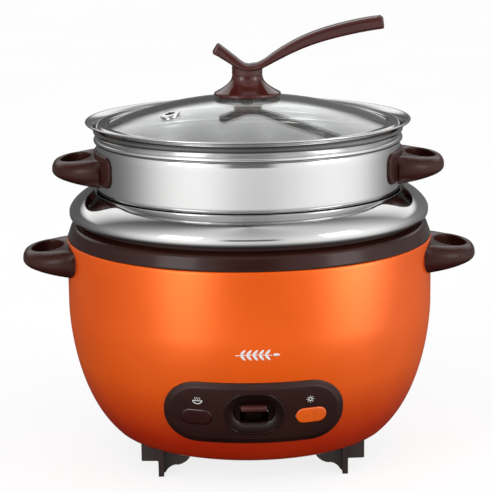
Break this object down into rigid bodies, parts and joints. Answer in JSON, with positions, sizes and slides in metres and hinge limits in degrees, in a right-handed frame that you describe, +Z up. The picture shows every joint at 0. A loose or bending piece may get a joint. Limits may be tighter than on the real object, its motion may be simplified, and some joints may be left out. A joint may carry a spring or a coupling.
{
  "type": "rice cooker",
  "caption": "Bowl-shaped rice cooker with pot, stacked steamer tray, glass lid with branch-like knob, press-down cook lever and loop handles.",
  "frame": {"origin": "on the floor, on the vertical axis of the bowl", "axes": "+Z up, control panel towards -Y, handles along X"},
  "size_m": [0.352, 0.28, 0.3358],
  "materials": {
    "orange_paint": "satin metallic orange paint",
    "brown_plastic": "gloss dark brown phenolic",
    "brown_matte": "satin dark brown plastic",
    "black_plastic": "black moulded plastic",
    "red_lens": "dark red translucent lens",
    "orange_lens": "lit orange lens",
    "stainless": "polished stainless steel",
    "pot_steel": "mirror-polished rolled rim, satin inside",
    "cast_aluminium": "turned cast aluminium",
    "plated_steel": "zinc-plated steel",
    "liner_steel": "aluminised steel sheet",
    "ceramic_white": "glazed ceramic",
    "magnet": "ferrite",
    "brass": "plated brass",
    "glass": "tempered clear glass",
    "lamp_glass": "neon lamp envelope",
    "board_green": "printed board",
    "wire_sheath": "silicone rubber sleeve"
  },
  "bodies": {
    "housing": {"outer_shell": "orange_paint", "rim_collar": "brown_plastic", "body_handle_left": "brown_plastic", "body_handle_right": "brown_plastic", "handle_screws": "plated_steel", "base_plate": "plated_steel", "foot_front_left": "brown_matte", "foot_front_right": "brown_matte", "foot_rear_left": "brown_matte", "foot_rear_right": "brown_matte", "foot_screws": "plated_steel", "heat_chamber": "liner_steel", "heating_plate": "cast_aluminium", "plate_spacers": "ceramic_white", "heater_terminals": "plated_steel", "sensor_spring": "plated_steel", "magnet_guide": "plated_steel", "lever_pin": "plated_steel", "lever_spring": "plated_steel", "switch_bracket": "plated_steel", "microswitch": "black_plastic", "panel_housing": "brown_matte", "switch_bezel": "brown_plastic", "cook_lens": "red_lens", "warm_lens": "orange_lens", "indicator_lamps": "lamp_glass", "lamp_board": "board_green", "warm_thermostat": "ceramic_white", "thermal_fuse": "plated_steel", "power_inlet": "black_plastic", "inlet_blades": "brass", "inlet_screws": "plated_steel", "internal_wiring": "wire_sheath"},
    "sensor": {"sensor_cup": "cast_aluminium"},
    "magnet": {"lift_magnet": "magnet", "magnet_holder": "plated_steel"},
    "lever": {"cook_lever": "brown_matte"},
    "pot": {"inner_pot": "pot_steel"},
    "steamer": {"steamer_tray": "stainless", "steamer_handle_left": "brown_plastic", "steamer_handle_right": "brown_plastic", "steamer_pads": "brown_plastic", "steamer_rivets": "plated_steel"},
    "lid": {"lid_glass": "glass", "lid_rim": "stainless", "vent_grommet": "stainless", "knob_base": "brown_plastic", "knob_branch": "brown_plastic", "knob_washer": "stainless", "knob_screw": "plated_steel"}
  },
  "joints": [
    {"name": "pot_lift", "type": "slide", "parent": "housing", "child": "pot", "axis": [0, 0, 1], "range_m": [0, 0.15]},
    {"name": "steamer_lift", "type": "slide", "parent": "pot", "child": "steamer", "axis": [0, 0, 1], "range_m": [0, 0.09]},
    {"name": "lid_lift", "type": "slide", "parent": "steamer", "child": "lid", "axis": [0, 0, 1], "range_m": [0, 0.06]},
    {"name": "sensor_press", "type": "slide", "parent": "housing", "child": "sensor", "axis": [0, 0, 1], "range_m": [-0.003, 0], "stiffness_N_per_m": 400, "springref_m": 0.001, "deforming": ["sensor_spring"]},
    {"name": "cook_press", "type": "hinge", "parent": "housing", "child": "lever", "pos_m": [0, -0.07, 0.0447], "axis": [1, 0, 0], "range_deg": [0, 4.5], "stiffness_Nm_per_rad": 1.5, "springref_deg": -5.73, "deforming": ["lever_spring"]},
    {"name": "magnet_lift", "type": "slide", "parent": "housing", "child": "magnet", "axis": [0, 0, 1], "range_m": [0, 0.0055]}
  ],
  "couplings": [
    {"joint": "magnet_lift", "follows": "cook_press", "m_per_rad": 0.068}
  ]
}
